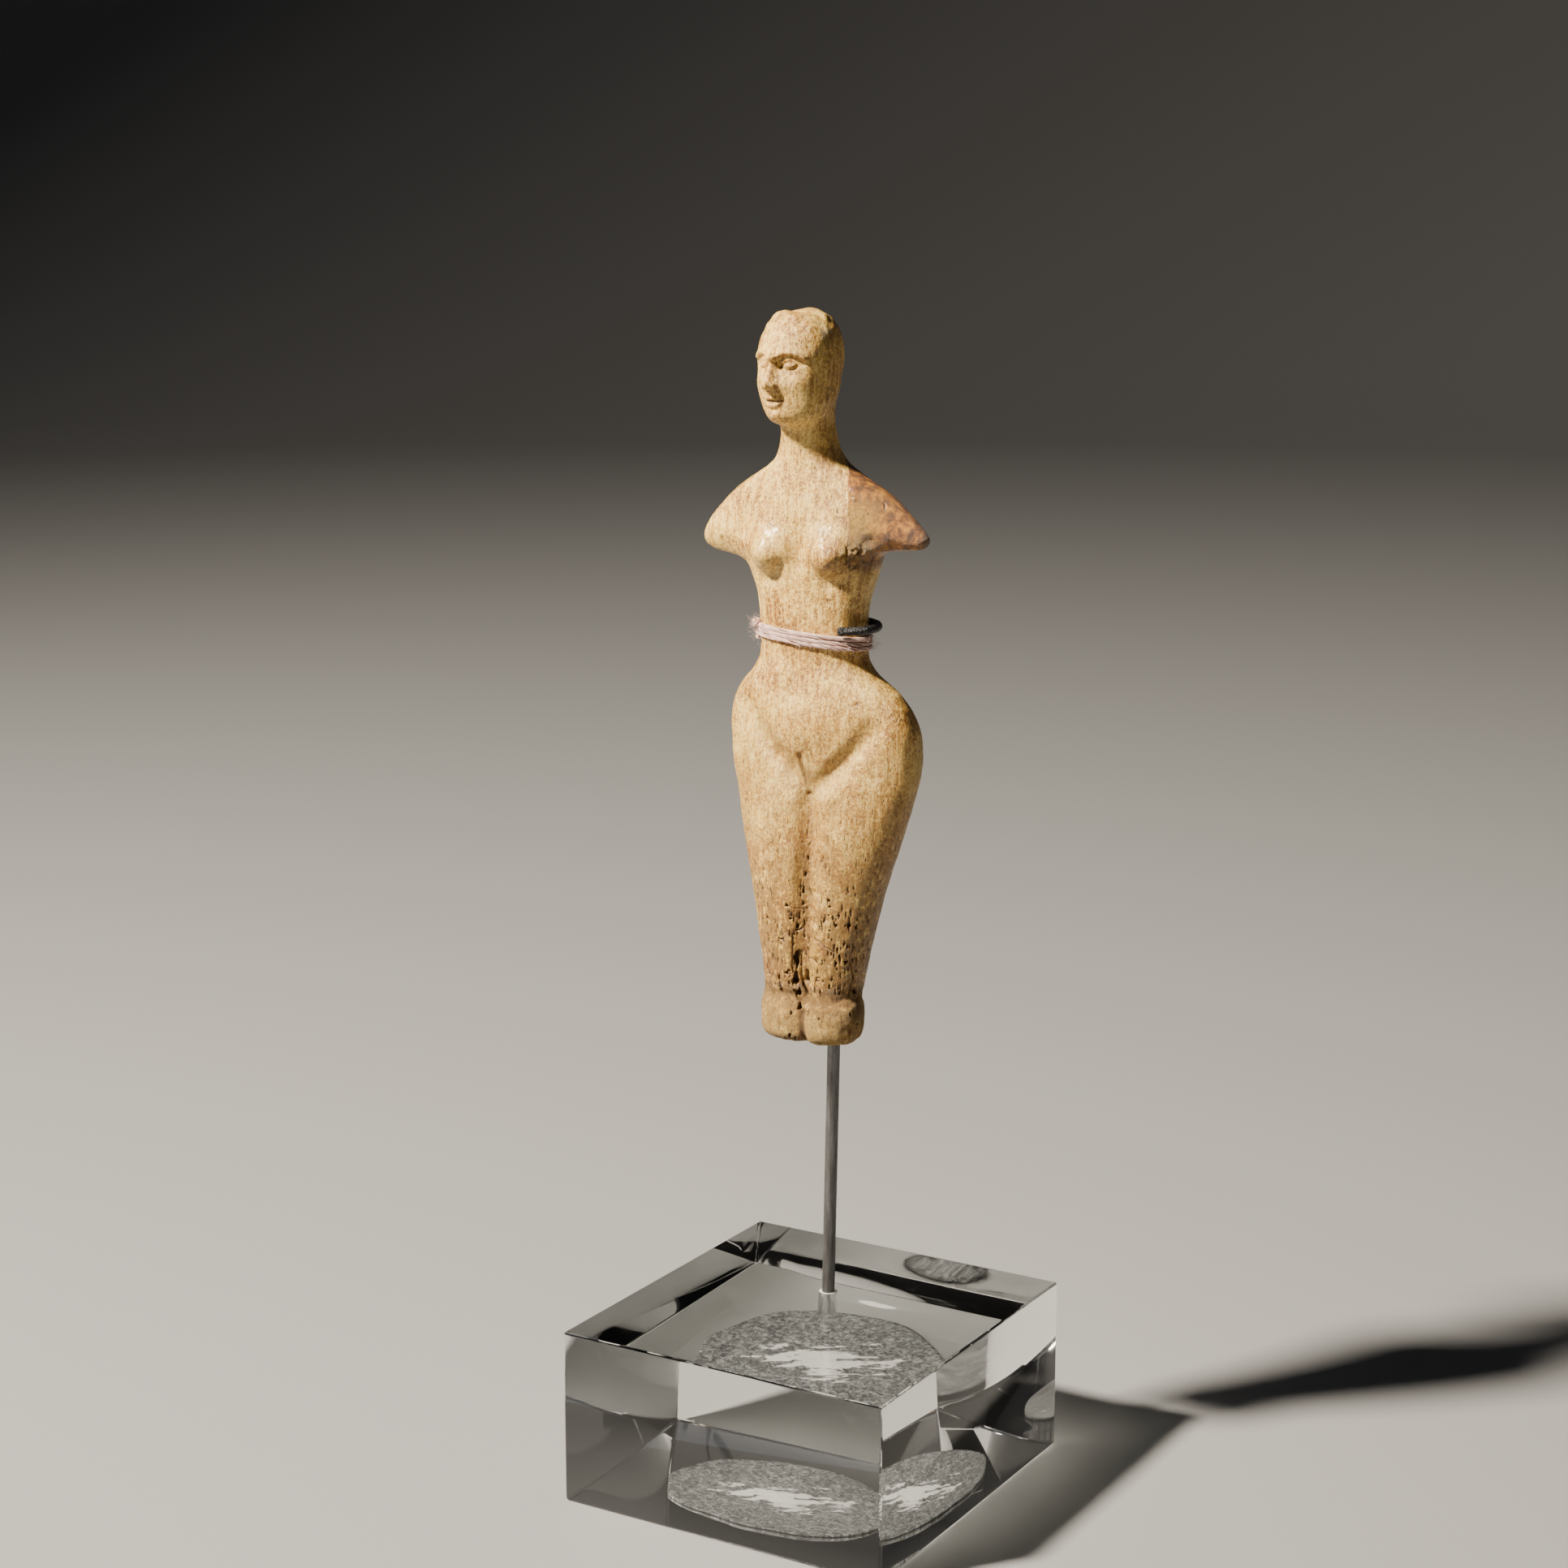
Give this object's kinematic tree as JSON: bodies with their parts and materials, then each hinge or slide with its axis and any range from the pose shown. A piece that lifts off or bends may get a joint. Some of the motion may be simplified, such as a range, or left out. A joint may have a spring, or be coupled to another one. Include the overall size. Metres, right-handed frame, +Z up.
{
  "type": "carved bone figurine on display stand",
  "caption": "Small carved bone figurine of a standing woman with arm stubs, held upright by a hooked steel rod and wool thread on a clear acrylic block.",
  "frame": {"origin": "centre of the acrylic block's underside", "axes": "+Z up along the standing figure, -Y the way the figure faces, +X the figure's left"},
  "size_m": [0.0506, 0.0524, 0.1649],
  "materials": {
    "carved_bone": "old carved bone, cream with ochre and brown staining, dark pores, worn to a soft gloss",
    "dark_steel": "dark grey steel rod, with a rough blackened hook",
    "wool_thread": "loosely twisted pinkish lilac wool yarn with stray fibres",
    "clear_acrylic": "clear polished cast acrylic"
  },
  "bodies": {
    "root": {"figurine": "carved_bone", "support_rod": "dark_steel", "waist_thread": "wool_thread", "acrylic_base": "clear_acrylic"}
  },
  "joints": []
}
